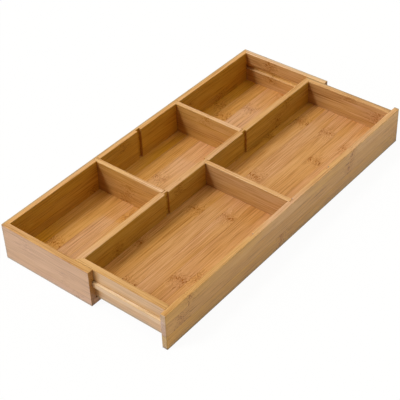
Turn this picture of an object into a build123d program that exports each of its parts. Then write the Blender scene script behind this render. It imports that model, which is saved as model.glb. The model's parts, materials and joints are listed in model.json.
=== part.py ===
from build123d import *
import os

# An expandable cutlery tray of bamboo boards, drawn out as it is used, in millimetres.
# X runs across the tray and is the way the sliding tray comes out, Y runs along it, Z is up.
# The origin is under the middle of the drawn-out tray, on the surface that it stands on.

# The whole tray
tray_length = 460.0
tray_height = 50.0
shown_extension = 100.5  # how far the sliding tray is drawn out of the fixed one
edge_radius = 0.8  # rounding of the boards' upper edges
overrun = 10.0  # how far a cutting tool runs past the wood

# The fixed tray: a left wall, two end boards and a floor, open on the right
fixed_thickness = 7.6
fixed_floor_thickness = 7.0
floor_let_in = 3.0  # depth of the rabbets and grooves that hold the floors' edges
closing_gap = 1.2  # left between the fixed end boards and the right wall when the tray is closed

# The sliding tray: an inner wall, two end boards, a right wall and a floor
sliding_thickness = 8.0
sliding_clear_width = 120.8  # between its inner wall and its right wall
sliding_floor_thickness = 7.0
right_wall_thickness = 7.0
right_wall_corner_radius = 1.5
end_gap = 0.3  # between the end boards of the two trays
floor_gap = 3.0  # between the sliding tray's underside and the fixed floor

# The rails on the sliding tray's ends, and the grooves that they run in
rail_height = 7.0
rail_bottom = 25.8  # height of the grooves' lower face, on which the rails lie
rail_reach = 3.0  # how far a rail stands into its groove
rail_let_in = 3.0  # depth of the rail's seat in the end board
rail_edge_radius = 0.5
groove_depth_play = 0.4  # past a rail's outer face
groove_height_play = 1.0  # over a rail

# The dividers and their slots
divider_thickness = 6.3
divider_play = 0.25  # on each side of a divider in its slots
divider_end_play = 0.8  # between a divider's right end and the back of its slot
divider_edge_radius = 1.2
left_slot_depth = 4.0
inner_slot_depth = 2.7
right_slot_depth = 2.7

# Widths and places that follow
closed_clear_width = fixed_thickness + sliding_thickness + sliding_clear_width
fixed_width = closed_clear_width - closing_gap
left_outer = -(closed_clear_width + shown_extension + right_wall_thickness) / 2
left_inner = left_outer + fixed_thickness
fixed_right = left_outer + fixed_width
inner_left = left_inner + shown_extension
inner_right = inner_left + sliding_thickness
right_inner = inner_right + sliding_clear_width
right_outer = right_inner + right_wall_thickness

fixed_end_outer = tray_length / 2
fixed_end_inner = fixed_end_outer - fixed_thickness
sliding_end_outer = fixed_end_inner - end_gap
sliding_end_inner = sliding_end_outer - sliding_thickness

sliding_bottom = fixed_floor_thickness + floor_gap
sliding_floor_top = sliding_bottom + sliding_floor_thickness
rail_top = rail_bottom + rail_height

# The fixed tray's two outer slots part its length into three equal compartments
compartment_length = (2 * fixed_end_inner - 2 * divider_thickness) / 3
slot_spacing = (compartment_length + divider_thickness) / 2
slot_width = divider_thickness + 2 * divider_play


def block(x_span, y_span, z_span):
    """A box that fills three spans, each a lower and an upper limit."""
    low = [min(span) for span in (x_span, y_span, z_span)]
    size = [max(span) - min(span) for span in (x_span, y_span, z_span)]
    return Pos(*low) * Box(*size, align=(Align.MIN, Align.MIN, Align.MIN))


def board(outline, z_span):
    """An upright board with the given plan, its upper long edges rounded."""
    low, high = z_span
    solid = Pos(0, 0, low) * extrude(make_face(Polyline(*outline, close=True)), amount=high - low)
    upper = solid.edges().group_by(Axis.Z)[-1]
    longest = max(edge.length for edge in upper)
    long_edges = [edge for edge in upper if edge.length > longest / 2]
    return fillet(long_edges, edge_radius)


def slots(face, back, bottom):
    """Cutters for the three divider slots, from a wall's face to the slots' back."""
    places = [step * slot_spacing for step in (-1, 0, 1)]
    return [
        block((face, back), (place - slot_width / 2, place + slot_width / 2), (bottom, tray_height + overrun))
        for place in places
    ]


def past_face(face, back):
    """The same depth of cut, begun outside the wood."""
    return face - overrun if back > face else face + overrun


def mirrored(solid):
    """The far end's copy of a piece of the near end."""
    return mirror(solid, about=Plane.XZ)


# The fixed tray


def make_left_wall():
    """The left wall, mitred at both ends, with a rabbet for the floor and three slots."""
    outline = [
        (left_outer, -fixed_end_outer),
        (left_inner, -fixed_end_inner),
        (left_inner, fixed_end_inner),
        (left_outer, fixed_end_outer),
    ]
    wall = board(outline, (0, tray_height))
    wall -= block(
        (left_inner - floor_let_in, left_inner + overrun),
        (-fixed_end_outer, fixed_end_outer),
        (-overrun, fixed_floor_thickness),
    )
    back = left_inner - left_slot_depth
    wall -= slots(past_face(left_inner, back), back, fixed_floor_thickness)
    return wall


def make_fixed_front_end():
    """The near end board, mitred on the left, with a rabbet below and the rail's groove."""
    outline = [
        (left_outer, -fixed_end_outer),
        (fixed_right, -fixed_end_outer),
        (fixed_right, -fixed_end_inner),
        (left_inner, -fixed_end_inner),
    ]
    end = board(outline, (0, tray_height))
    whole_width = (left_outer - overrun, fixed_right + overrun)
    inner_face = -fixed_end_inner + overrun
    end -= block(whole_width, (-fixed_end_inner - floor_let_in, inner_face), (-overrun, fixed_floor_thickness))
    groove_back = -fixed_end_inner - rail_reach - groove_depth_play
    end -= block(whole_width, (groove_back, inner_face), (rail_bottom, rail_top + groove_height_play))
    return end


def make_fixed_floor():
    """The fixed tray's floor, flush with the walls' undersides and with the open side."""
    half_length = fixed_end_inner + floor_let_in
    return block((left_inner - floor_let_in, fixed_right), (-half_length, half_length), (0, fixed_floor_thickness))


# The sliding tray


def make_inner_wall():
    """The wall between the trays, mitred at both ends, slotted from both sides."""
    outline = [
        (inner_left, -sliding_end_outer),
        (inner_right, -sliding_end_inner),
        (inner_right, sliding_end_inner),
        (inner_left, sliding_end_outer),
    ]
    wall = board(outline, (sliding_bottom, tray_height))
    wall -= block(
        (inner_right - floor_let_in, inner_right + overrun),
        (-sliding_end_outer, sliding_end_outer),
        (sliding_bottom - overrun, sliding_floor_top),
    )
    left_back = inner_left + inner_slot_depth
    right_back = inner_right - inner_slot_depth
    wall -= slots(past_face(inner_left, left_back), left_back, sliding_bottom - overrun)
    wall -= slots(past_face(inner_right, right_back), right_back, sliding_floor_top)
    return wall


def make_sliding_front_end():
    """The sliding tray's near end board, mitred on the left, with the rail's seat outside."""
    outline = [
        (inner_left, -sliding_end_outer),
        (right_inner, -sliding_end_outer),
        (right_inner, -sliding_end_inner),
        (inner_right, -sliding_end_inner),
    ]
    end = board(outline, (sliding_bottom, tray_height))
    whole_width = (inner_left - overrun, right_inner + overrun)
    end -= block(
        whole_width,
        (-sliding_end_inner - floor_let_in, -sliding_end_inner + overrun),
        (sliding_bottom - overrun, sliding_floor_top),
    )
    seat_left = inner_left + rail_let_in
    seat_back = -sliding_end_outer + rail_let_in
    end -= block((seat_left, right_inner + overrun), (-fixed_end_outer, seat_back), (rail_bottom, rail_top))
    return end


def make_front_rail():
    """The strip that carries the sliding tray in the near groove."""
    seat_back = -sliding_end_outer + rail_let_in
    outer_face = -fixed_end_inner - rail_reach
    rail = block((inner_left + rail_let_in, right_inner), (outer_face, seat_back), (rail_bottom, rail_top))
    outer_edges = rail.edges().filter_by(Axis.X).group_by(Axis.Y)[0]
    return fillet(outer_edges, rail_edge_radius)


def make_sliding_floor():
    """The sliding tray's floor, in rabbets on three sides and in the right wall's groove."""
    half_length = sliding_end_inner + floor_let_in
    x_span = (inner_right - floor_let_in, right_inner + floor_let_in)
    return block(x_span, (-half_length, half_length), (sliding_bottom, sliding_floor_top))


def make_right_wall():
    """The right wall, as long as the fixed tray and as deep, with the floor's groove."""
    outline = [
        (right_inner, -fixed_end_outer),
        (right_outer, -fixed_end_outer),
        (right_outer, fixed_end_outer),
        (right_inner, fixed_end_outer),
    ]
    wall = extrude(make_face(Polyline(*outline, close=True)), amount=tray_height)
    outer_corners = wall.edges().filter_by(Axis.Z).group_by(Axis.X)[-1]
    wall = fillet(outer_corners, right_wall_corner_radius)
    long_edges = wall.edges().filter_by(Axis.Y).group_by(Axis.Z)[-1]
    wall = fillet(long_edges, edge_radius)
    half_length = sliding_end_inner + floor_let_in
    groove_back = right_inner + floor_let_in
    wall -= block(
        (right_inner - overrun, groove_back), (-half_length, half_length), (sliding_bottom, sliding_floor_top)
    )
    back = right_inner + right_slot_depth
    wall -= slots(past_face(right_inner, back), back, sliding_floor_top)
    return wall


# The dividers


def make_divider(slot_backs, place, bottom):
    """A loose divider between two slot backs, its upper edges rounded."""
    left_back, right_back = slot_backs
    x_span = (left_back, right_back - divider_end_play)
    y_span = (place - divider_thickness / 2, place + divider_thickness / 2)
    divider = block(x_span, y_span, (bottom, tray_height))
    upper_edges = divider.edges().filter_by(Axis.X).group_by(Axis.Z)[-1]
    return fillet(upper_edges, divider_edge_radius)


left_slot_backs = (left_inner - left_slot_depth, inner_left + inner_slot_depth)
right_slot_backs = (inner_right - inner_slot_depth, right_inner + right_slot_depth)

fixed_front_end = make_fixed_front_end()
sliding_front_end = make_sliding_front_end()
front_rail = make_front_rail()

pieces = {
    "fixed_floor": make_fixed_floor(),
    "left_wall": make_left_wall(),
    "fixed_front_end": fixed_front_end,
    "fixed_rear_end": mirrored(fixed_front_end),
    "sliding_floor": make_sliding_floor(),
    "inner_wall": make_inner_wall(),
    "sliding_front_end": sliding_front_end,
    "sliding_rear_end": mirrored(sliding_front_end),
    "right_wall": make_right_wall(),
    "front_rail": front_rail,
    "rear_rail": mirrored(front_rail),
    "divider_left_front": make_divider(left_slot_backs, -slot_spacing, fixed_floor_thickness),
    "divider_left_rear": make_divider(left_slot_backs, slot_spacing, fixed_floor_thickness),
    "divider_right": make_divider(right_slot_backs, 0, sliding_floor_top),
}

os.makedirs("parts", exist_ok=True)
for name, piece in pieces.items():
    export_step(piece, f"parts/{name}.step")
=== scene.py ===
import json
import math
import random

import bmesh
import bpy
from mathutils import Matrix, Vector


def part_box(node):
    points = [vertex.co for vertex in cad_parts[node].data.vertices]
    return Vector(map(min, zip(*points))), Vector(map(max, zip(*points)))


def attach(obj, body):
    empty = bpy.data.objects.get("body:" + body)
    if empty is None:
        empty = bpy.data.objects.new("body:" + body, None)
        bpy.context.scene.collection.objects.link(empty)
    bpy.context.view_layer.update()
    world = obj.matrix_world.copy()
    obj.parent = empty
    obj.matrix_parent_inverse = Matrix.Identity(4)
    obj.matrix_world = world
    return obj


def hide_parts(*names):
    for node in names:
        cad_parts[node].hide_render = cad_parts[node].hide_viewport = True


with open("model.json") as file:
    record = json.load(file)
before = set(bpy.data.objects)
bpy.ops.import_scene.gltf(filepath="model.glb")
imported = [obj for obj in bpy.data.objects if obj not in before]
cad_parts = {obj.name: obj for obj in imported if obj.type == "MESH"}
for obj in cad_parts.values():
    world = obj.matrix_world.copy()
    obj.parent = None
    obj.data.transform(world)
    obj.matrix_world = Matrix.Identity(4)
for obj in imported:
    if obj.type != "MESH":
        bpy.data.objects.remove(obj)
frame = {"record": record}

# An expandable cutlery tray of bamboo boards, drawn out. X runs across it, Y along it and Z up.
# Lengths are in metres, worked out from the frame's boxes and the sizes below.
mm = 0.001
x_axis, y_axis, z_axis = 0, 1, 2
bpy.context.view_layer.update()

# Clearances that the frame's boxes don't show
divider_play = 0.25 * mm  # on each side of a divider in its slots
divider_end_play = 0.8 * mm  # between a divider's right end and the back of its slot
groove_depth_play = 0.4 * mm  # past a rail's outer face
groove_height_play = 1.0 * mm  # over a rail
overrun = 20 * mm  # how far a cutting box runs past the wood

# Rounding of the boards' edges
upper_arris = 0.8 * mm  # long upper edges
divider_arris = 1.2 * mm
rail_arris = 0.5 * mm
plain_arris = 0.4 * mm  # other edges that hands can reach
joint_arris = 0.12 * mm
joint_hairline = 0.05 * mm  # gap that shows at a glued mitre
slot_ease = 0.25 * mm  # flare of the slots' mouths
mitred_corner_radius = 1.6 * mm
square_corner_radius = 1.5 * mm
largest_radius = mitred_corner_radius
arris_steps = 4
sharp_turn = math.radians(35)  # a sharper turn between two faces is an edge
flat_turn = math.radians(0.1)
flat_face_weight = 100  # how far flat faces decide the shading of the rounds beside them
tiny = 0.002 * mm

# The studio floor
floor_size = 12.0
floor_drop = 0.1 * mm
floor_white = 0.85
floor_shadow_share = 0.07  # how much of the floor's own light the camera sees under its white
floor_light = 0.81  # the floor's own light away from the tray
white = (1, 1, 1, 1)

# Lamps and sky
key_direction = Vector((-0.49, -0.68, 1.0))  # from the tray towards the lamp
key_strength = 1.25
key_spread = math.radians(12)
side_direction = Vector((-0.6, -0.9, 0.55))  # towards a lower, softer lamp
side_strength = 1.25
side_spread = math.radians(40)
sky_colour = (1.0, 0.97, 0.75)
right_strength = 0.05  # soft light from the right
rear_strength = 1.05  # and from behind
overhead_strength = 1.75  # and from straight above
overhead_power = 12.0  # how closely that light keeps to straight above

# Camera
picture_width = 400.0
focal_pixels = 1132.0
sensor_width = 36.0
clip_range = (0.01, 100)
camera_place = Vector((0.6856, -0.8298, 0.8773))
camera_azimuth = math.radians(40.365)
camera_elevation = math.radians(39.373)
camera_roll = math.radians(-2.49)


def low_of(node):
    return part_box(node)[0]


def high_of(node):
    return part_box(node)[1]


# Places that the frame gives
tray_top = high_of("right_wall").z
left_outer, left_inner = low_of("left_wall").x, high_of("left_wall").x
inner_left, inner_right = low_of("inner_wall").x, high_of("inner_wall").x
right_inner, right_outer = low_of("right_wall").x, high_of("right_wall").x
fixed_right = high_of("fixed_front_end").x
fixed_end_outer = high_of("fixed_rear_end").y
fixed_end_inner = low_of("fixed_rear_end").y
fixed_bottom = low_of("left_wall").z
sliding_end_outer = high_of("sliding_rear_end").y
sliding_end_inner = low_of("sliding_rear_end").y
sliding_bottom = low_of("sliding_floor").z
fixed_floor_top = high_of("fixed_floor").z
sliding_floor_top = high_of("sliding_floor").z
rail_low, rail_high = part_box("rear_rail")
slot_dividers = ("divider_left_front", "divider_right", "divider_left_rear")
slot_places = [(low_of(node).y + high_of(node).y) / 2 for node in slot_dividers]
slot_width = high_of("divider_right").y - low_of("divider_right").y + 2 * divider_play
left_slot_back = low_of("divider_left_front").x
inner_left_slot_back = high_of("divider_left_front").x + divider_end_play
inner_right_slot_back = low_of("divider_right").x
right_slot_back = high_of("divider_right").x + divider_end_play


# Mesh work

# What a face's material slot says while a board is made, where 0 is a flat face
rounded_face, sawn_face = 1, 2


def to_object(mesh, name):
    data = bpy.data.meshes.new(name)
    mesh.to_mesh(data)
    mesh.free()
    piece = bpy.data.objects.new(name, data)
    bpy.context.scene.collection.objects.link(piece)
    return piece


def opened(piece):
    """A piece's mesh, to be changed and put back with closed()."""
    mesh = bmesh.new()
    mesh.from_mesh(piece.data)
    return mesh


def closed(mesh, piece):
    mesh.to_mesh(piece.data)
    mesh.free()


def remove(piece):
    data = piece.data
    bpy.data.objects.remove(piece)
    bpy.data.meshes.remove(data)


def bake_modifiers(piece):
    """Writes what the modifiers make into the object's own mesh."""
    graph = bpy.context.evaluated_depsgraph_get()
    source = piece.evaluated_get(graph)
    made = bpy.data.meshes.new_from_object(source, preserve_all_data_layers=True, depsgraph=graph)
    old = piece.data
    piece.modifiers.clear()
    piece.data = made
    bpy.data.meshes.remove(old)


def prism(outline, z_span):
    """A closed mesh that stands on an outline in plan."""
    mesh = bmesh.new()
    rings = [[mesh.verts.new((x, y, z)) for x, y in outline] for z in z_span]
    mesh.faces.new(rings[0])
    mesh.faces.new(rings[1])
    for k in range(len(outline)):
        following = (k + 1) % len(outline)
        mesh.faces.new([rings[0][k], rings[0][following], rings[1][following], rings[1][k]])
    bmesh.ops.recalc_face_normals(mesh, faces=mesh.faces)
    return mesh, rings


def rounded_prism(name, corners, z_span):
    """A prism with rounded edges. Each corner is its x and y, the radius of its upright edge, and the
    radii of the upper and lower edge of the side from it to the next corner."""
    mesh, rings = prism([corner[:2] for corner in corners], z_span)
    weight = mesh.edges.layers.float.new("bevel_weight_edge")
    for k, (_, _, upright, upper, lower) in enumerate(corners):
        following = (k + 1) % len(corners)
        mesh.edges.get((rings[0][k], rings[1][k]))[weight] = upright / largest_radius
        mesh.edges.get((rings[1][k], rings[1][following]))[weight] = upper / largest_radius
        mesh.edges.get((rings[0][k], rings[0][following]))[weight] = lower / largest_radius
    piece = to_object(mesh, name)
    for mark in ("flat", "rounded", "sawn"):
        piece.data.materials.append(bpy.data.materials.get(mark) or bpy.data.materials.new(mark))
    modifier = piece.modifiers.new("round", "BEVEL")
    modifier.limit_method = "WEIGHT"
    modifier.width = largest_radius
    modifier.segments = arris_steps
    modifier.use_clamp_overlap = False
    modifier.material = rounded_face
    bake_modifiers(piece)
    return piece


def rectangle(x_span, y_span):
    x0, x1 = sorted(x_span)
    y0, y1 = sorted(y_span)
    return [(x0, y0), (x1, y0), (x1, y1), (x0, y1)]


def box_mesh(x_span, y_span, z_span):
    return prism(rectangle(x_span, y_span), sorted(z_span))[0]


def part_of(piece, name, planes):
    """A copy of a piece that keeps only what lies in front of each plane, a point and a direction."""
    mesh = opened(piece)
    for point, direction in planes:
        geometry = mesh.verts[:] + mesh.edges[:] + mesh.faces[:]
        cut_off = bmesh.ops.bisect_plane(
            mesh, geom=geometry, dist=tiny, plane_co=point, plane_no=direction, clear_inner=True
        )
        rim = [item for item in cut_off["geom_cut"] if isinstance(item, bmesh.types.BMEdge)]
        bmesh.ops.edgeloop_fill(mesh, edges=rim)
    bmesh.ops.recalc_face_normals(mesh, faces=mesh.faces)
    part = to_object(mesh, name)
    for material in piece.data.materials:
        part.data.materials.append(material)
    return part


def cut(piece, *cutters):
    """Takes each cutting mesh out of the piece."""
    for mesh in cutters:
        for face in mesh.faces:
            face.material_index = sawn_face
        cutter = to_object(mesh, "cutter")
        modifier = piece.modifiers.new("cut", "BOOLEAN")
        modifier.operation = "DIFFERENCE"
        modifier.solver = "EXACT"
        modifier.object = cutter
        bake_modifiers(piece)
        remove(cutter)


def slot_cutters(face, back, bottom):
    """The three divider slots of a wall, from its face to their back, with eased mouths."""
    out = 1 if face > back else -1
    shape = [
        (back, slot_width / 2),
        (face - out * slot_ease, slot_width / 2),
        (face + out * slot_ease, slot_width / 2 + 2 * slot_ease),
        (face + out * overrun, slot_width / 2 + 2 * slot_ease),
    ]
    cutters = []
    for place in slot_places:
        outline = [(x, place + y) for x, y in shape] + [(x, place - y) for x, y in reversed(shape)]
        cutters.append(prism(outline, (bottom, tray_top + overrun))[0])
    return cutters


def node_cutter(node, *grow):
    """A cutting box over a CAD node, grown past the wood on the named sides, each an axis and a sign."""
    low, high = (list(corner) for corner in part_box(node))
    for axis, side in grow:
        if side < 0:
            low[axis] -= overrun
        else:
            high[axis] += overrun
    return box_mesh(*zip(low, high))


def merge_flat(piece):
    """Joins faces that lie in one plane, as the cuts leave them divided."""
    mesh = opened(piece)
    bmesh.ops.remove_doubles(mesh, verts=mesh.verts, dist=tiny)
    bmesh.ops.dissolve_limit(
        mesh,
        angle_limit=flat_turn,
        verts=mesh.verts,
        edges=mesh.edges,
        use_dissolve_boundaries=False,
        delimit={"MATERIAL"},
    )
    closed(mesh, piece)


def smooth_rounds(piece):
    """Shades rounded edges smoothly and flat faces flat."""
    mesh = opened(piece)
    for face in mesh.faces:
        face.smooth = True
    for edge in mesh.edges:
        edge.smooth = len(edge.link_faces) == 2 and edge.calc_face_angle(0) < sharp_turn
    closed(mesh, piece)
    modifier = piece.modifiers.new("normals", "WEIGHTED_NORMAL")
    modifier.mode = "FACE_AREA"
    modifier.weight = flat_face_weight
    modifier.keep_sharp = True
    bake_modifiers(piece)


# Strips of bamboo

seed_step = 1000  # more than any board's count of strips
pink_spread = 0.3
internodes = (210, 320)  # millimetres between a strip's nodes
shifts = (0, 10)  # metres along the grain to where a strip's own pattern begins
plain_tint = (1, 1, 1)
top_tint = (1.11, 1.15, 1.55)  # the boards' upper edges are paler than their sides: partly paler edge grain, partly painted sheen
end_tint = (0.8, 0.76, 0.75)
sawn_and_lifted_shade_tint = (1.13, 1.25, 1.2)  # inside slots and grooves, paler: partly the sawn wood, partly painted light that lifts the shade in these recesses
back_tint = (0.95, 0.94, 1.15)  # the sides that face left or to the rear
top_marks = 0.3  # how strong node marks are on upper edges, compared with the sides
facing = 0.7  # least part of a face's normal along the way that it faces
square_facing = 0.95  # the same for a face that is square to it
no_rim = 10.0  # metres, farther than any wood


class Strips:
    """How a board is glued up: the axis across its strips, where the first one begins and how wide they
    are, the tints of its sides, upper edge and end grain, how strong its node marks are and how pink its
    patches are. The upper edge's tint is partly paler edge grain and partly painted sheen. Then the nodes
    (in millimetres along the grain), tones and pinkness of the strips that show, by their count from the
    first, where some boards' listed values also paint light and shade, and the places by axis of its outer
    edges, which are made darker and greyer."""

    def __init__(
        self, across, first, width, seed, tint=plain_tint, top=top_tint, end=end_tint, marks=1.0, pink=0.5,
        nodes=(), tones=(), pinks=(), rims=None,
    ):
        self.across = across
        self.first = first
        self.width = width
        self.seed = seed
        self.tint = tint
        self.top = top
        self.end = end
        self.marks = marks
        self.pink = pink
        self.nodes = nodes
        self.tones = tones
        self.pinks = pinks
        self.rims = rims or {}

    def glue_lines(self, low, high):
        first = math.ceil((low - self.first) / self.width)
        last = math.floor((high - self.first) / self.width)
        return [self.first + step * self.width for step in range(first, last + 1)]

    def index(self, place):
        return math.floor((place - self.first) / self.width)

    def values(self, index):
        """What the material needs to know about one strip."""
        draw = random.Random(self.seed * seed_step + index)
        tone, pink = draw.uniform(-1, 1), self.pink + draw.uniform(-pink_spread, pink_spread)
        shift, internode, node = draw.uniform(*shifts), draw.uniform(*internodes), draw.uniform(*internodes)
        if 0 <= index < len(self.tones):
            tone = self.tones[index]
        if 0 <= index < len(self.pinks):
            pink = self.pinks[index]
        if 0 <= index < len(self.nodes):
            node, *others = self.nodes[index]
            internode = others[0] - node if others else internode
        return {
            "strip_tone": tone,
            "strip_pink": pink,
            "strip_shift": shift,
            "strip_node": node * mm,
            "strip_internode": internode * mm,
            "strip_low": self.first + index * self.width,
            "strip_marks": self.marks,
        }

    def is_top(self, normal):
        return self.across == z_axis and normal.z > facing

    def tint_of(self, normal, grain):
        if abs(normal[grain]) > facing:
            return self.end
        if normal.x < -facing or normal.y > facing:
            return back_tint
        # an upper edge takes its board's top tint, which also paints a sheen on it
        return self.top if self.is_top(normal) else self.tint


def score(piece, strips):
    """Divides the piece's faces along its glue lines."""
    mesh = opened(piece)
    normal = Vector((0, 0, 0))
    normal[strips.across] = 1
    values = [vert.co[strips.across] for vert in mesh.verts]
    for place in strips.glue_lines(min(values), max(values)):
        geometry = mesh.verts[:] + mesh.edges[:] + mesh.faces[:]
        bmesh.ops.bisect_plane(mesh, geom=geometry, dist=tiny, plane_co=normal * place, plane_no=normal)
    closed(mesh, piece)


def write_values(data, name, values):
    """Gives each face of a mesh its own number."""
    data.attributes.new(name, "FLOAT", "FACE").data.foreach_set("value", values)


def write_tints(data, strips, grain):
    tints = []
    for face in data.polygons:
        # faces cut for slots and grooves are tinted paler, partly painted light in those shaded recesses
        change = sawn_and_lifted_shade_tint if face.material_index == sawn_face else plain_tint
        tints += [part * more for part, more in zip(strips.tint_of(face.normal, grain), change)] + [1]
    data.attributes.new("tint", "FLOAT_COLOR", "FACE").data.foreach_set("color", tints)


def mark_strips(piece, strips, grain):
    """Gives each face the values of its strip, its tint and how far its darker outer edges are."""
    data = piece.data
    found = [strips.values(strips.index(face.center[strips.across])) for face in data.polygons]
    for values, face in zip(found, data.polygons):
        values["strip_marks"] *= top_marks if strips.is_top(face.normal) else 1
    for name in found[0]:
        write_values(data, name, [values[name] for values in found])
    write_tints(data, strips, grain)
    for axis, name in enumerate(("rim_x", "rim_y", "rim_z")):
        place = strips.rims.get(axis, no_rim)
        places = [place if abs(face.normal[axis]) < square_facing else no_rim for face in data.polygons]
        write_values(data, name, places)
    write_values(data, "arris", [float(face.material_index == rounded_face) for face in data.polygons])


def body_of(node):
    groups = frame["record"]["behaviour"]["bodies"]
    return next(body for body, members in groups.items() if node in members)


def dress(piece, main_wood, arris_wood, near_wood):
    """Puts the wood on a marked board, with woods of their own for its rounded edges and its near face."""
    data = piece.data
    data.materials.clear()
    for wood in (main_wood, arris_wood, near_wood):
        data.materials.append(wood)
    main, arris, near = range(3)
    for face, rounded in zip(data.polygons, data.attributes["arris"].data):
        if rounded.value:
            face.material_index = arris
        else:
            face.material_index = near if face.normal.y < -square_facing else main


def finish_board(piece, node, main_wood, strips, arris_wood=None, near_wood=None):
    """Marks a board's strips, dresses it and puts it in its node's place."""
    low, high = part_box(node)
    grain = x_axis if high.x - low.x > high.y - low.y else y_axis
    merge_flat(piece)
    score(piece, strips)
    mark_strips(piece, strips, grain)
    smooth_rounds(piece)
    dress(piece, main_wood, arris_wood or main_wood, near_wood or main_wood)
    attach(piece, body_of(node))
    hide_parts(node)


# Node trees


class Graph:
    """Empties the node tree of a material or a world, adds nodes to it and joins them."""

    def __init__(self, owner):
        owner.use_nodes = True
        self.tree = owner.node_tree
        self.tree.nodes.clear()

    def add(self, kind, inputs=(), **settings):
        node = self.tree.nodes.new(kind)
        for name, value in settings.items():
            setattr(node, name, value)
        for key, value in dict(inputs).items():
            self.put(node.inputs[key], value)
        return node

    def put(self, socket, value):
        if isinstance(value, bpy.types.NodeSocket):
            self.tree.links.new(value, socket)
        else:
            socket.default_value = value

    def math(self, operation, *values, clamp=False):
        node = self.add("ShaderNodeMath", enumerate(values), operation=operation, use_clamp=clamp)
        return node.outputs[0]

    def times(self, first, *others):
        product = first
        for value in others:
            product = self.math("MULTIPLY", product, value)
        return product

    def plus(self, base, value, weight, clamp=False):
        """The base with so much of the value."""
        return self.math("MULTIPLY_ADD", value, weight, base, clamp=clamp)

    def minus(self, first, second):
        return self.math("SUBTRACT", first, second)

    def centred(self, noise):
        """A noise about 0, in place of about a half."""
        return self.minus(noise, 0.5)

    def attribute(self, name, output="Fac"):
        return self.add("ShaderNodeAttribute", attribute_name=name).outputs[output]

    def vector(self, x, y, z):
        return self.add("ShaderNodeCombineXYZ", {"X": x, "Y": y, "Z": z}).outputs[0]

    def parts(self, vector):
        return self.add("ShaderNodeSeparateXYZ", {0: vector}).outputs

    def noise(self, vector, scale, detail, roughness=0.5, output=0):
        inputs = {"Vector": vector, "Scale": scale, "Detail": detail, "Roughness": roughness}
        return self.add("ShaderNodeTexNoise", inputs).outputs[output]

    def rise(self, value, start, end):
        """0 at start, 1 at end, smooth between them and level beyond."""
        inputs = {"Value": value, "From Min": start, "From Max": end}
        return self.add("ShaderNodeMapRange", inputs, interpolation_type="SMOOTHSTEP").outputs[0]

    def bell(self, distance, width):
        """1 where the distance is 0, and a third at the width."""
        ratio = self.math("DIVIDE", distance, width)
        return self.math("EXPONENT", self.times(ratio, ratio, -1.0))

    def ramp(self, value, stops):
        node = self.add("ShaderNodeValToRGB", {0: value})
        elements = node.color_ramp.elements
        while len(elements) < len(stops):
            elements.new(0.5)
        for element, (place, colour) in zip(elements, stops):
            element.position = place
            element.color = (*colour, 1)
        return node.outputs[0]

    def mix(self, factor, first, second, blend="MIX"):
        node = self.add("ShaderNodeMix", data_type="RGBA", blend_type=blend, clamp_factor=False)
        self.put(node.inputs["Factor"], factor)
        self.put(node.inputs[6], first)  # the colours among the node's inputs of all kinds
        self.put(node.inputs[7], second)
        return node.outputs[2]

    def changed(self, colour, amount, change):
        """The colour, multiplied by a change where the amount is 1."""
        return self.mix(amount, colour, self.mix(1.0, colour, change, "MULTIPLY"))

    def seen(self):
        """1 to rays from the camera, off lacquer or through glass, and 0 to those that light the wood."""
        rays = self.add("ShaderNodeLightPath").outputs
        direct = self.math("MAXIMUM", rays["Is Camera Ray"], rays["Is Glossy Ray"])
        return self.math("MAXIMUM", direct, rays["Is Transmission Ray"])


# Bamboo

# Colours, and what a colour is multiplied by
dark_fibre = (0.34, 0.125, 0.017)
ground = (0.625, 0.314, 0.068)
light_fibre = (0.76, 0.43, 0.125)
ground_tone = 0.55  # where the ground lies between the dark fibre's 0 and the light one's 1
# rounded edges turn this paler colour in patches: partly wear, partly painted highlight
wear_and_highlight_colour = (0.76, 0.47, 0.18)
pink_change = (1.03, 1.08, 1.7, 1)
node_change = (0.68, 0.52, 0.3, 1)
rim_change = (0.6, 0.76, 1.0, 1)

# Fibres: their length, width and detail
fibre_roughness = 0.55
broad_band = (220 * mm, 16 * mm, 1.0)
streak = (110 * mm, 1.9 * mm, 2.0)
pin = (70 * mm, 1.1 * mm, 1.0)
hair = (30 * mm, 0.6 * mm, 1.0)
fleck = (6 * mm, 1.6 * mm, 1.0)

# From which noise to which one a thing comes in
dark_streak_span = (0.52, 0.66)
dark_pin_span = (0.54, 0.66)
ring_span = (0.0, 0.9)
fleck_span = (0.34, 0.62)
line_span = (0.4, 0.6)
patch_span = (0.35, 0.65)
wear_and_highlight_span = (0.4, 0.7)
dot_span = (0.42, 0.2)
end_span = (0.75, 0.95)

# How much each adds to the tone
plain_tone = 0.65
strip_tone = 0.08
broad_band_tone = 0.45
streak_tone = -0.34
dark_streak_tone = -0.1
dark_pin_tone = -0.3
halo_tone = -0.1
strip_edge_tone = -0.08
hair_tone = -1.15

# Nodes
node_wave = 12 * mm  # how far a node's line strays across its strip
node_wave_noise = (110.0, 2.0)  # a noise's scale and detail, here and below
node_halo = 9.5 * mm
node_zone = 7.6 * mm  # half the length of a node's arcs
node_line = 2 * mm
swirl_zone = 11 * mm
swirl_reach = 11 * mm  # how far fibres are pushed aside in it
swirl_noise = (120.0, 1.0)
ring_stretch = 0.8  # less than 1 draws a noise out along the grain
ring_noise = (105.0, 0.0)
ring_count = 46.0  # turns of the arcs through the noise that shapes them
arc_strength = 1.2
line_strength = 0.45

# Patches, glue lines, end grain and edges
patch_stretch = 0.25
patch_noise = (28.0, 1.0)
strip_edge = 1.2 * mm
seam_width = 0.3 * mm
seam_strength = 0.75
dot_scale = 1500.0  # dots to a metre
dot_strength = 0.7
wear_and_highlight_noise = (60.0, 2.0)
wear_and_highlight_strength = 0.35
rim_width = 2.4 * mm

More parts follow.
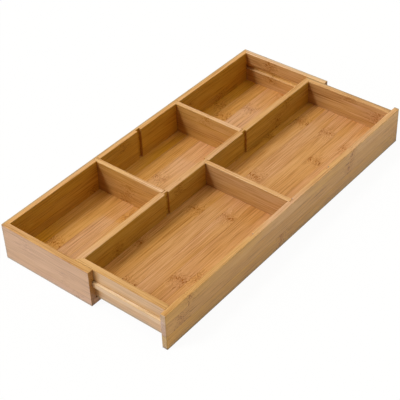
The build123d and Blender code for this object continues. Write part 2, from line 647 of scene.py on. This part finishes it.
# Lacquer and relief
plain_roughness = 0.42
dark_pin_roughness = 0.1
worn_roughness = 0.1
end_roughness = 0.15
dark_pin_height = -0.6
hair_height = -0.3
seam_height = -1.0
node_height = 0.6
relief_strength = 0.35
relief_depth = 0.06 * mm
wood_index = 1.5
plain_lacquer = 1.5  # refractive index
thick_lacquer = 2.2  # the one that gives the near faces their pale gloss
clear_gloss = 0.13  # roughness of the lacquer
soft_gloss = 0.35


class Wood(Graph):
    """A bamboo material's nodes, with the places and distances that its parts share: u along the grain, a
    and b across it, and the distances from the strip's lower edge and from its nearest node."""

    def __init__(self, material, grain, across):
        super().__init__(material)
        coordinates = self.add("ShaderNodeTexCoord").outputs
        self.place = self.parts(coordinates["Object"])
        self.end_facing = self.parts(coordinates["Normal"])[grain]
        self.u = self.place[grain]
        self.a, self.b = (self.place[axis] for axis in range(3) if axis != grain)
        self.from_strip_edge = self.minus(self.place[across], self.attribute("strip_low"))
        self.shift = self.attribute("strip_shift")
        self.along = self.math("ADD", self.u, self.shift)
        self.marks = self.attribute("strip_marks")
        self.from_node = self.node_distance()
        self.a_fibre, self.b_fibre = self.swirled()

    def node_distance(self):
        """Distance to the strip's nearest node, on a line that waves across the strip."""
        internode = self.attribute("strip_internode")
        turns = self.math("DIVIDE", self.minus(self.u, self.attribute("strip_node")), internode)
        distance = self.times(self.minus(turns, self.math("ROUND", turns)), internode)
        across = self.vector(self.math("ADD", self.a, self.shift), self.b, self.shift)
        wave = self.noise(across, *node_wave_noise)
        return self.plus(distance, self.centred(wave), node_wave)

    def near_node(self, width):
        """1 at a node and 0 away from it, times the strength of the board's marks."""
        return self.times(self.bell(self.from_node, width), self.marks)

    def swirled(self):
        """The places a and b, where the fibres swirl beside a node."""
        noise = self.noise(self.vector(self.along, self.a, self.b), *swirl_noise, output="Color")
        pushes = self.add("ShaderNodeSeparateColor", {0: noise}).outputs
        reach = self.times(self.near_node(swirl_zone), swirl_reach)
        a, b = (
            self.math("ADD", place, self.times(reach, self.centred(push)))
            for place, push in zip((self.a, self.b), pushes)
        )
        return self.math("ADD", a, self.shift), b

    def fibres(self, length, width, detail):
        """Noise drawn out along the grain, of about the given length and width."""
        stretched = self.times(self.along, width / length)
        place = self.vector(stretched, self.a_fibre, self.b_fibre)
        return self.noise(place, 1 / width, detail, fibre_roughness)


def node_marks(wood):
    """Arcs nested about each node, broken into short dark fibres, and a line across the strip."""
    place = wood.vector(wood.times(wood.along, ring_stretch), wood.a_fibre, wood.b_fibre)
    rings = wood.math("SINE", wood.times(wood.noise(place, *ring_noise), ring_count))
    flecks = wood.fibres(*fleck)
    arcs = wood.times(wood.rise(rings, *ring_span), wood.rise(flecks, *fleck_span), wood.near_node(node_zone))
    line = wood.times(wood.near_node(node_line), wood.rise(flecks, *line_span))
    return wood.plus(wood.times(arcs, arc_strength), line, line_strength)


def wood_tone(wood, hairs, dark_pins):
    """How light the wood is, from dark fibre at 0 to light fibre at 1."""
    streaks = wood.fibres(*streak)
    tone = wood.plus(plain_tone, wood.attribute("strip_tone"), strip_tone)
    tone = wood.plus(tone, wood.centred(wood.fibres(*broad_band)), broad_band_tone)
    tone = wood.plus(tone, wood.centred(streaks), streak_tone)
    tone = wood.plus(tone, wood.rise(streaks, *dark_streak_span), dark_streak_tone)
    tone = wood.plus(tone, dark_pins, dark_pin_tone)
    tone = wood.plus(tone, wood.near_node(node_halo), halo_tone)
    tone = wood.plus(tone, wood.bell(wood.from_strip_edge, strip_edge), strip_edge_tone)
    return wood.plus(tone, wood.centred(hairs), hair_tone, clamp=True)


def wood_colour(wood, tone):
    """The tone's colour in the face's tint, with pink patches."""
    stops = [(0.0, dark_fibre), (ground_tone, ground), (1.0, light_fibre)]
    colour = wood.mix(1.0, wood.ramp(tone, stops), wood.attribute("tint", "Color"), "MULTIPLY")
    place = wood.vector(wood.times(wood.along, patch_stretch), wood.a, wood.b)
    patches = wood.rise(wood.noise(place, *patch_noise), *patch_span)
    return wood.changed(colour, wood.times(wood.attribute("strip_pink"), patches), pink_change)


def end_dots(wood, end):
    """The dark dots of cut fibres in the end grain."""
    place = wood.vector(0.0, wood.a_fibre, wood.b_fibre)
    dots = wood.add("ShaderNodeTexVoronoi", {"Vector": place, "Scale": dot_scale}).outputs["Distance"]
    return wood.times(end, wood.rise(dots, *dot_span))


def darker_rims(wood):
    """1 at the board's outer edges, where the colour is made darker and greyer, 0 away from them."""
    distances = [
        wood.math("ABSOLUTE", wood.minus(place, wood.attribute(name)))
        for place, name in zip(wood.place, ("rim_x", "rim_y", "rim_z"))
    ]
    nearest = wood.math("MINIMUM", wood.math("MINIMUM", *distances[:2]), distances[2])
    return wood.bell(nearest, rim_width)


def worn_and_highlit_edges(wood, darker_rim):
    """1 in patches along rounded edges, where the colour is turned paler: partly wear, partly a painted
    highlight.
    """
    edge_patches = wood.noise(wood.vector(wood.u, wood.a, wood.b), *wear_and_highlight_noise)
    wear_and_highlight = wood.times(wood.attribute("arris"), wood.rise(edge_patches, *wear_and_highlight_span))
    return wood.times(wear_and_highlight, wood.minus(1.0, darker_rim))


def relief(wood, hairs, dark_pins, seam, nodes):
    """The fine relief of fibres, glue lines and nodes."""
    height = wood.plus(wood.times(hairs, hair_height), dark_pins, dark_pin_height)
    height = wood.plus(height, seam, seam_height)
    height = wood.plus(height, nodes, node_height)
    inputs = {"Strength": relief_strength, "Distance": relief_depth, "Height": height}
    return wood.add("ShaderNodeBump", inputs).outputs[0]


def bamboo(name, grain, across, coat, coat_index=plain_lacquer, coat_roughness=clear_gloss):
    """Lacquered bamboo: strips with their own tone, fibres along the grain, and nodes that cross them."""
    material = bpy.data.materials.new(name)
    wood = Wood(material, grain, across)
    hairs = wood.fibres(*hair)
    dark_pins = wood.rise(wood.fibres(*pin), *dark_pin_span)
    nodes = node_marks(wood)
    seam = wood.bell(wood.from_strip_edge, seam_width)
    end = wood.rise(wood.math("ABSOLUTE", wood.end_facing), *end_span)
    darker_rim = darker_rims(wood)
    wear_and_highlight = worn_and_highlit_edges(wood, darker_rim)

    colour = wood_colour(wood, wood_tone(wood, hairs, dark_pins))
    colour = wood.changed(colour, nodes, node_change)
    colour = wood.changed(colour, wood.times(seam, seam_strength), node_change)
    colour = wood.changed(colour, wood.times(end_dots(wood, end), dot_strength), node_change)
    # paler patches on rounded edges: partly wear, partly painted highlight
    colour = wood.mix(wood.times(wear_and_highlight, wear_and_highlight_strength), colour, (*wear_and_highlight_colour, 1))
    colour = wood.changed(colour, darker_rim, rim_change)

    roughness = wood.plus(plain_roughness, dark_pins, dark_pin_roughness)
    roughness = wood.plus(roughness, wear_and_highlight, worn_roughness)
    roughness = wood.plus(roughness, end, end_roughness)
    shader = wood.add("ShaderNodeBsdfPrincipled", {
        "Base Color": colour,
        "Roughness": roughness,
        "Normal": relief(wood, hairs, dark_pins, seam, nodes),
        "IOR": wood_index,
        "Specular IOR Level": 0.0,
        "Coat Weight": coat,
        "Coat Roughness": coat_roughness,
        "Coat IOR": coat_index,
    })
    wood.add("ShaderNodeOutputMaterial", {"Surface": shader.outputs[0]})
    return material


inner_wall_wood = bamboo("bamboo_wall_along_y", y_axis, z_axis, 0.3)
right_wall_wood = bamboo("bamboo_right_wall", y_axis, z_axis, 0.6)
end_wood = bamboo("bamboo_wall_along_x", x_axis, z_axis, 0.6)
fixed_floor_wood = bamboo("bamboo_fixed_floor", y_axis, x_axis, 0.75)
sliding_floor_wood = bamboo("bamboo_sliding_floor", y_axis, x_axis, 0.25)
divider_wood = bamboo("bamboo_divider", x_axis, z_axis, 0.35)
rail_wood = bamboo("bamboo_rail", x_axis, z_axis, 0.6)
front_wood = bamboo("bamboo_front", x_axis, z_axis, 1.0, thick_lacquer, soft_gloss)
edge_wood = bamboo("bamboo_edges", x_axis, z_axis, 0.25, coat_roughness=soft_gloss)


# How the boards are glued up

# Each *_top_tint makes its board's upper edge paler and bluer: partly the edge grain, partly painted sheen
# and highlight; the rail's and the rear board's are the strongest painted highlights.
front_tint = (0.815, 0.785, 1.19)
front_top_tint = (1.05, 1.06, 1.27)
front_end_tint = (0.74, 0.67, 0.61)
sliding_front_tint = (0.885, 0.915, 1.16)
sliding_front_top_tint = (1.07, 1.12, 1.45)
rail_tint = (0.93, 1.05, 1.9)
rail_top_tint = (1.2, 1.7, 4.2)
# left_tint and inner_tint cover the walls' right-facing sides, which lie in shade: their olive, low-blue
# colour is partly the bamboo's and partly painted shade hue
left_tint = (0.95, 1.01, 0.5)
left_top_tint = (1.19, 1.21, 1.78)
inner_tint = (0.93, 1.07, 0.72)
inner_top_tint = (1.06, 1.1, 1.73)
right_tint = (1.08, 1.06, 0.93)
right_top_tint = (1.01, 1.0, 1.24)
right_end_tint = (0.79, 1.0, 2.5)
fixed_floor_tint = (1.06, 1.03, 1.23)
sliding_floor_tint = (0.98, 0.95, 1.34)
divider_tint = (0.84, 0.84, 0.9)
rear_divider_tint = (0.81, 0.81, 0.8)
divider_top_tint = (1.22, 1.37, 2.5)
right_divider_tint = (0.79, 0.83, 1.2)
right_divider_top_tint = (1.15, 1.25, 2.12)
rear_tint = (0.88, 0.9, 1.14)
rear_top_tint = (1.3, 1.55, 3.15)
sliding_rear_tint = (0.87, 0.92, 1.3)

fixed_floor_strips = Strips(
    x_axis, -118 * mm, 20 * mm, 11, fixed_floor_tint, pink=0.6,
    nodes=[[-60], [-183, 133], [-18, 168], [-97]],
    # the first strip lies in the left wall's shadow: its listed tone and negative pinkness paint that shade's
    # lightness and warm, low-blue hue
    tones=[0.6, 0.4, 0.5, 0.2],
    pinks=[-1.0, 0, 0.9, 1.1],
)
sliding_floor_strips = Strips(
    x_axis, -17.5 * mm, 20.3 * mm, 12, sliding_floor_tint,
    nodes=[[-131], [-47, 172], [44], [-36, 172], [-153, 113], [-137, 158]],
    tones=[0, 0.3, 0.4, 0.1, -0.4, -0.1],
    # the first two strips lie partly in the inner wall's shadow: their negative pinkness paints that shade's
    # warm, low-blue hue
    pinks=[-0.8, -0.3, 0.4, 0.5, 0.5, 0.4],
)
left_wall_strips = Strips(
    z_axis, 1 * mm, 17 * mm, 13, left_tint, left_top_tint, marks=0.8,
    nodes=[[-87], [100], [-30]],
    tones=[0.2, 0, 0.4],
    rims={x_axis: left_outer},
)
inner_wall_strips = Strips(
    z_axis, 0.5 * mm, 17 * mm, 14, inner_tint, inner_top_tint, marks=0.8,
    nodes=[[0], [-163], [-54, 165]],
    tones=[-0.2, 0, 0.5],
)
right_wall_strips = Strips(
    z_axis, 1.5 * mm, 17.3 * mm, 15, right_tint, right_top_tint, right_end_tint, marks=1.1,
    nodes=[[-25], [-205, 115], [123]],
    # the upper strip's higher tone and pinkness are painted light: they make the outer face lighter and paler
    # at the top
    tones=[0.9, -0.4, 1.7],
    pinks=[-0.45, 0.5, 1.3],
    rims={y_axis: fixed_end_outer, z_axis: fixed_bottom},
)
fixed_front_strips = Strips(
    z_axis, -9.5 * mm, 19.3 * mm, 16, front_tint, front_top_tint, front_end_tint, marks=0.32,
    nodes=[[-7], [-26], [-86]],
    tones=[0.5, 0.2, 0.2],
    pinks=[0.7, 0.2, 0.25],
    rims={x_axis: left_outer, z_axis: fixed_bottom},
)
fixed_rear_strips = Strips(
    z_axis, -2 * mm, 18 * mm, 17, rear_tint, rear_top_tint, marks=0.9,
    nodes=[[-20], [-73], [-76]],
    tones=[0.2, 0, -0.7],
    rims={y_axis: fixed_end_outer},
)
sliding_front_strips = Strips(
    z_axis, -3 * mm, 18 * mm, 18, sliding_front_tint, sliding_front_top_tint, marks=0.5,
    nodes=[[200], [190], [-40]],
    tones=[-1.0, -0.6, 0.7],
    pinks=[0.6, 0.3, 0.3],
    rims={z_axis: sliding_bottom},
)
sliding_rear_strips = Strips(
    z_axis, 7 * mm, 18 * mm, 19, sliding_rear_tint, marks=0.8,
    nodes=[[150], [100], [57]],
    rims={y_axis: sliding_end_outer},
)
front_rail_strips, rear_rail_strips = (
    Strips(
        z_axis, 20 * mm, 20 * mm, seed, rail_tint, rail_top_tint, marks=0.5,
        nodes=[[-300, 300]],  # past both ends of the rail
        tones=[1.5],
        pinks=[0.0],
    )
    for seed in (30, 31)
)
# Each divider's seed, the tints of its sides and upper edge, and its strips' first nodes
dividers = {
    "left_front": (40, divider_tint, divider_top_tint, [[-70], [-64], [-200]]),
    "left_rear": (41, rear_divider_tint, divider_top_tint, [[-300]] * 3),
    "right": (42, right_divider_tint, right_divider_top_tint, [[-300]] * 3),
}


# Boards

left, right = (x_axis, -1), (x_axis, 1)
front, rear = (y_axis, -1), (y_axis, 1)
down = (z_axis, -1)


def mitre(corner, across, along):
    """A plane through a corner and its direction towards the side that is kept, half a hairline off."""
    direction = Vector((across, along, 0)).normalized()
    return Vector((*corner, 0)) + direction * joint_hairline / 2, direction


def make_end(whole, node, name, strips, corner, side, cutters):
    """An end board of a tray, parted from its walls at the mitre. Side is -1 in front and 1 at the rear."""
    board = part_of(whole, name, [mitre(corner, 1, side)])
    cut(board, *cutters)
    finish_board(board, node, end_wood, strips, edge_wood, front_wood if side < 0 else None)


def make_fixed_walls():
    """The left wall and the two end boards are rounded as one and parted at the mitres."""
    upper, lower, corner, end = upper_arris, plain_arris, mitred_corner_radius, plain_arris
    corners = [
        (left_outer, -fixed_end_outer, corner, upper, lower),
        (fixed_right, -fixed_end_outer, end, end, end),
        (fixed_right, -fixed_end_inner, end, upper, 0),
        (left_inner, -fixed_end_inner, 0, upper, 0),
        (left_inner, fixed_end_inner, 0, upper, 0),
        (fixed_right, fixed_end_inner, end, end, end),
        (fixed_right, fixed_end_outer, end, upper, lower),
        (left_outer, fixed_end_outer, corner, upper, lower),
    ]
    whole = rounded_prism("fixed_walls", corners, (fixed_bottom, tray_top))
    front_corner, rear_corner = (left_outer, -fixed_end_outer), (left_outer, fixed_end_outer)

    wall = part_of(whole, "left_board", [mitre(front_corner, -1, 1), mitre(rear_corner, -1, -1)])
    cut(wall, node_cutter("fixed_floor", right, front, rear, down))
    cut(wall, *slot_cutters(left_inner, left_slot_back, fixed_floor_top))
    finish_board(wall, "left_wall", inner_wall_wood, left_wall_strips)

    ends = (
        ("fixed_front_end", "fixed_front_board", fixed_front_strips, front_corner, -1),
        ("fixed_rear_end", "fixed_rear_board", fixed_rear_strips, rear_corner, 1),
    )
    for node, name, strips, corner_place, side in ends:
        rabbet = node_cutter("fixed_floor", left, right, (y_axis, -side), down)
        groove = box_mesh(
            (left_outer - overrun, fixed_right + overrun),
            (side * (rail_high.y + groove_depth_play), side * (fixed_end_inner - overrun)),
            (rail_low.z, rail_high.z + groove_height_play),
        )
        make_end(whole, node, name, strips, corner_place, side, [rabbet, groove])
    remove(whole)


def make_sliding_walls():
    """The inner wall and the sliding tray's two end boards, made the same way."""
    upper, lower, corner = upper_arris, plain_arris, mitred_corner_radius
    corners = [
        (inner_left, -sliding_end_outer, corner, upper, lower),
        (right_inner, -sliding_end_outer, 0, 0, 0),
        (right_inner, -sliding_end_inner, 0, upper, 0),
        (inner_right, -sliding_end_inner, 0, upper, 0),
        (inner_right, sliding_end_inner, 0, upper, 0),
        (right_inner, sliding_end_inner, 0, 0, 0),
        (right_inner, sliding_end_outer, 0, upper, lower),
        (inner_left, sliding_end_outer, corner, upper, lower),
    ]
    whole = rounded_prism("sliding_walls", corners, (sliding_bottom, tray_top))
    front_corner, rear_corner = (inner_left, -sliding_end_outer), (inner_left, sliding_end_outer)

    wall = part_of(whole, "inner_board", [mitre(front_corner, -1, 1), mitre(rear_corner, -1, -1)])
    cut(wall, node_cutter("sliding_floor", right, front, rear, down))
    cut(wall, *slot_cutters(inner_left, inner_left_slot_back, sliding_bottom - overrun))
    cut(wall, *slot_cutters(inner_right, inner_right_slot_back, sliding_floor_top))
    finish_board(wall, "inner_wall", inner_wall_wood, inner_wall_strips)

    ends = (
        ("sliding_front_end", "sliding_front_board", sliding_front_strips, front_corner, -1, "front_rail"),
        ("sliding_rear_end", "sliding_rear_board", sliding_rear_strips, rear_corner, 1, "rear_rail"),
    )
    for node, name, strips, corner_place, side, rail in ends:
        rabbet = node_cutter("sliding_floor", left, right, (y_axis, -side), down)
        seat = node_cutter(rail, right, (y_axis, side))
        make_end(whole, node, name, strips, corner_place, side, [rabbet, seat])
    remove(whole)


def make_right_wall():
    """The long right wall, with the floor's groove and three slots in its inner face."""
    upper, lower = upper_arris, plain_arris
    corners = [
        (right_inner, -fixed_end_outer, plain_arris, upper, lower),
        (right_outer, -fixed_end_outer, square_corner_radius, upper, lower),
        (right_outer, fixed_end_outer, square_corner_radius, upper, lower),
        (right_inner, fixed_end_outer, plain_arris, upper, lower),
    ]
    wall = rounded_prism("right_board", corners, (fixed_bottom, tray_top))
    cut(wall, node_cutter("sliding_floor", left))
    cut(wall, *slot_cutters(right_inner, right_slot_back, sliding_floor_top))
    finish_board(wall, "right_wall", right_wall_wood, right_wall_strips)


def plain_board(node, name, long_upper=joint_arris, long_lower=joint_arris, other=joint_arris):
    """A board in a node's box, with the radii of its long upper, its long lower and its other edges."""
    low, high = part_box(node)
    along_x = high.x - low.x > high.y - low.y
    corners = []
    for k, (x, y) in enumerate(rectangle((low.x, high.x), (low.y, high.y))):
        is_long = (k % 2 == 0) == along_x
        corners.append((x, y, other, long_upper if is_long else other, long_lower if is_long else other))
    return rounded_prism(name, corners, (low.z, high.z))


def make_floors():
    board = plain_board("fixed_floor", "fixed_base")
    finish_board(board, "fixed_floor", fixed_floor_wood, fixed_floor_strips)
    board = plain_board("sliding_floor", "sliding_base")
    finish_board(board, "sliding_floor", sliding_floor_wood, sliding_floor_strips)


def make_rails():
    """The strips that carry the sliding tray in the fixed one's grooves."""
    rails = (("front", front_rail_strips, front_wood), ("rear", rear_rail_strips, None))
    for end, strips, near_wood in rails:
        board = plain_board(f"{end}_rail", f"{end}_runner", rail_arris, rail_arris)
        finish_board(board, f"{end}_rail", rail_wood, strips, edge_wood, near_wood)


def make_dividers():
    for place, (seed, tint, top, nodes) in dividers.items():
        strips = Strips(z_axis, 0.5 * mm, 17.5 * mm, seed, tint, top, marks=0.7, nodes=nodes)
        board = plain_board(f"divider_{place}", f"{place}_divider", divider_arris, plain_arris, plain_arris)
        finish_board(board, f"divider_{place}", divider_wood, strips)


# Floor, lights and camera


def make_floor():
    """A white floor that shows the camera a softened shadow."""
    half = floor_size / 2
    mesh = bmesh.new()
    outline = rectangle((-half, half), (-half, half))
    mesh.faces.new([mesh.verts.new((x, y, -floor_drop)) for x, y in outline])
    floor = to_object(mesh, "studio_floor")
    material = bpy.data.materials.new("studio_floor")
    g = Graph(material)
    white_share = 1 - floor_shadow_share
    paper = g.add("ShaderNodeBsdfDiffuse", {"Color": (floor_white, floor_white, floor_white, 1)})
    glow_strength = (1 - floor_shadow_share * floor_light) / white_share
    glow = g.add("ShaderNodeEmission", {"Color": white, "Strength": glow_strength})
    share = g.times(g.seen(), white_share)
    both = g.add("ShaderNodeMixShader", {0: share, 1: paper.outputs[0], 2: glow.outputs[0]})
    g.add("ShaderNodeOutputMaterial", {"Surface": both.outputs[0]})
    floor.data.materials.append(material)


def make_world():
    """Soft light from above and from behind, where the camera and the lacquer see white."""
    world = bpy.data.worlds.new("studio")
    bpy.context.scene.world = world
    g = Graph(world)
    seen = g.seen()
    direction = g.add("ShaderNodeTexCoord").outputs["Generated"]
    from_right, from_rear, from_above = (g.math("MAXIMUM", part, 0.0) for part in g.parts(direction))
    light = g.times(g.math("POWER", from_above, overhead_power), overhead_strength)
    light = g.plus(light, from_right, right_strength)
    light = g.plus(light, from_rear, rear_strength)
    strength = g.math("MAXIMUM", g.times(light, g.minus(1.0, seen)), seen)
    colour = g.mix(seen, (*sky_colour, 1), white)
    sky = g.add("ShaderNodeBackground", {"Color": colour, "Strength": strength})
    g.add("ShaderNodeOutputWorld", {"Surface": sky.outputs[0]})


def make_lamp(name, direction, strength, spread):
    lamp = bpy.data.lights.new(name, "SUN")
    lamp.energy = strength
    lamp.angle = spread
    light = bpy.data.objects.new(name, lamp)
    light.rotation_mode = "QUATERNION"
    light.rotation_quaternion = direction.to_track_quat("Z", "Y")
    bpy.context.scene.collection.objects.link(light)


def make_camera():
    """The photograph's camera, turned about its own axis by the roll."""
    data = bpy.data.cameras.new("camera")
    data.sensor_width = sensor_width
    data.lens = focal_pixels / picture_width * sensor_width
    data.clip_start, data.clip_end = clip_range
    camera = bpy.data.objects.new("camera", data)
    bpy.context.scene.collection.objects.link(camera)
    outwards = Vector((math.sin(camera_azimuth), -math.cos(camera_azimuth), 0))
    level = Vector((math.cos(camera_azimuth), math.sin(camera_azimuth), 0))
    back = outwards * math.cos(camera_elevation) + Vector((0, 0, math.sin(camera_elevation)))
    right_way = math.cos(camera_roll) * level + math.sin(camera_roll) * back.cross(level)
    axes = Matrix((right_way, back.cross(right_way), back)).transposed()
    camera.matrix_world = Matrix.Translation(camera_place) @ axes.to_4x4()
    bpy.context.scene.camera = camera


make_fixed_walls()
make_sliding_walls()
make_right_wall()
make_floors()
make_rails()
make_dividers()
make_floor()
make_world()
make_lamp("key", key_direction, key_strength, key_spread)
make_lamp("side", side_direction, side_strength, side_spread)
make_camera()
bpy.context.scene.view_settings.view_transform = "Standard"
